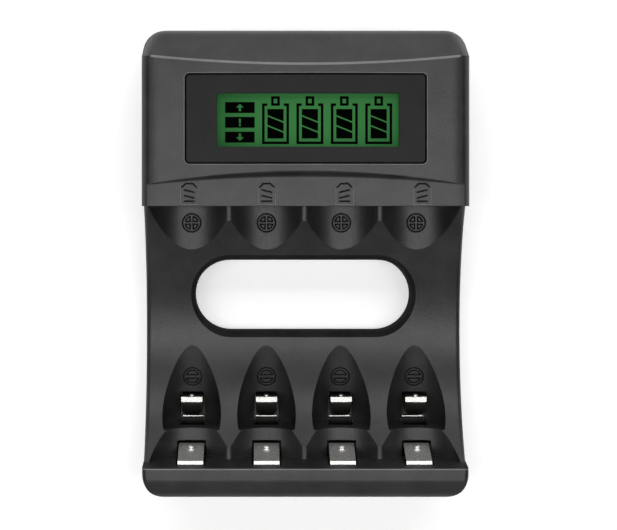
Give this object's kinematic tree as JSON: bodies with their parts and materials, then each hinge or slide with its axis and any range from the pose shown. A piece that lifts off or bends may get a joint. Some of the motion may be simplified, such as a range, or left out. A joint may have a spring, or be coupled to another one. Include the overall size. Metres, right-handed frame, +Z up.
{
  "type": "aa battery charger",
  "caption": "Desktop charger for AA or AAA cells, with a crowned head that holds a display, a saddle-shaped bay with sprung contacts and a finger hole.",
  "frame": {"origin": "middle of the back face that it rests on", "axes": "+X across the cells, +Y from the foot to the display end, +Z up from the back face"},
  "size_m": [0.064, 0.0922, 0.0257],
  "materials": {
    "case_plastic": "fine spark-eroded texture, moulded ABS",
    "bezel_plastic": "smooth satin, moulded",
    "lcd_glass": "satin polariser, lit from behind",
    "white_plastic": "moulded",
    "board_laminate": "solder mask on glass-epoxy laminate",
    "component_black": "moulded epoxy",
    "capacitor_sleeve": "shrunk film",
    "cable_jacket": "extruded",
    "contact_nickel": "nickel-plated spring steel, stamped and bent",
    "screw_steel": "zinc plated"
  },
  "bodies": {
    "case": {"front_shell": "case_plastic", "rear_cover": "case_plastic", "display_bezel": "bezel_plastic", "lcd_panel": "lcd_glass", "lcd_backlight": "white_plastic", "lcd_frame": "white_plastic", "circuit_board": "board_laminate", "contact_board": "board_laminate", "inlet_socket": "contact_nickel", "controller_chip": "component_black", "power_inductor": "component_black", "filter_capacitors": "capacitor_sleeve", "charge_transistors": "component_black", "discharge_resistors": "component_black", "ribbon_cable": "cable_jacket", "positive_contact_1": "contact_nickel", "positive_contact_2": "contact_nickel", "positive_contact_3": "contact_nickel", "positive_contact_4": "contact_nickel", "negative_strip_1": "contact_nickel", "negative_strip_2": "contact_nickel", "negative_strip_3": "contact_nickel", "negative_strip_4": "contact_nickel", "case_screws": "screw_steel", "board_screws": "screw_steel"},
    "aa_leaf_1": {"aa_contact_1": "contact_nickel"},
    "aa_leaf_2": {"aa_contact_2": "contact_nickel"},
    "aa_leaf_3": {"aa_contact_3": "contact_nickel"},
    "aa_leaf_4": {"aa_contact_4": "contact_nickel"},
    "aaa_leaf_1": {"aaa_contact_1": "contact_nickel"},
    "aaa_leaf_2": {"aaa_contact_2": "contact_nickel"},
    "aaa_leaf_3": {"aaa_contact_3": "contact_nickel"},
    "aaa_leaf_4": {"aaa_contact_4": "contact_nickel"}
  },
  "joints": [
    {"name": "aa_leaf_1_flex", "type": "hinge", "parent": "case", "child": "aa_leaf_1", "pos_m": [-0.02265, -0.03497, 0.0038], "axis": [1, 0, 0], "range_deg": [0, 9], "stiffness_Nm_per_rad": 0.05},
    {"name": "aa_leaf_2_flex", "type": "hinge", "parent": "case", "child": "aa_leaf_2", "pos_m": [-0.00755, -0.03497, 0.0038], "axis": [1, 0, 0], "range_deg": [0, 9], "stiffness_Nm_per_rad": 0.05},
    {"name": "aa_leaf_3_flex", "type": "hinge", "parent": "case", "child": "aa_leaf_3", "pos_m": [0.00755, -0.03497, 0.0038], "axis": [1, 0, 0], "range_deg": [0, 9], "stiffness_Nm_per_rad": 0.05},
    {"name": "aa_leaf_4_flex", "type": "hinge", "parent": "case", "child": "aa_leaf_4", "pos_m": [0.02265, -0.03497, 0.0038], "axis": [1, 0, 0], "range_deg": [0, 9], "stiffness_Nm_per_rad": 0.05},
    {"name": "aaa_leaf_1_flex", "type": "hinge", "parent": "case", "child": "aaa_leaf_1", "pos_m": [-0.02265, -0.02733, 0.0038], "axis": [1, 0, 0], "range_deg": [0, 40], "stiffness_Nm_per_rad": 0.02},
    {"name": "aaa_leaf_2_flex", "type": "hinge", "parent": "case", "child": "aaa_leaf_2", "pos_m": [-0.00755, -0.02733, 0.0038], "axis": [1, 0, 0], "range_deg": [0, 40], "stiffness_Nm_per_rad": 0.02},
    {"name": "aaa_leaf_3_flex", "type": "hinge", "parent": "case", "child": "aaa_leaf_3", "pos_m": [0.00755, -0.02733, 0.0038], "axis": [1, 0, 0], "range_deg": [0, 40], "stiffness_Nm_per_rad": 0.02},
    {"name": "aaa_leaf_4_flex", "type": "hinge", "parent": "case", "child": "aaa_leaf_4", "pos_m": [0.02265, -0.02733, 0.0038], "axis": [1, 0, 0], "range_deg": [0, 40], "stiffness_Nm_per_rad": 0.02}
  ]
}
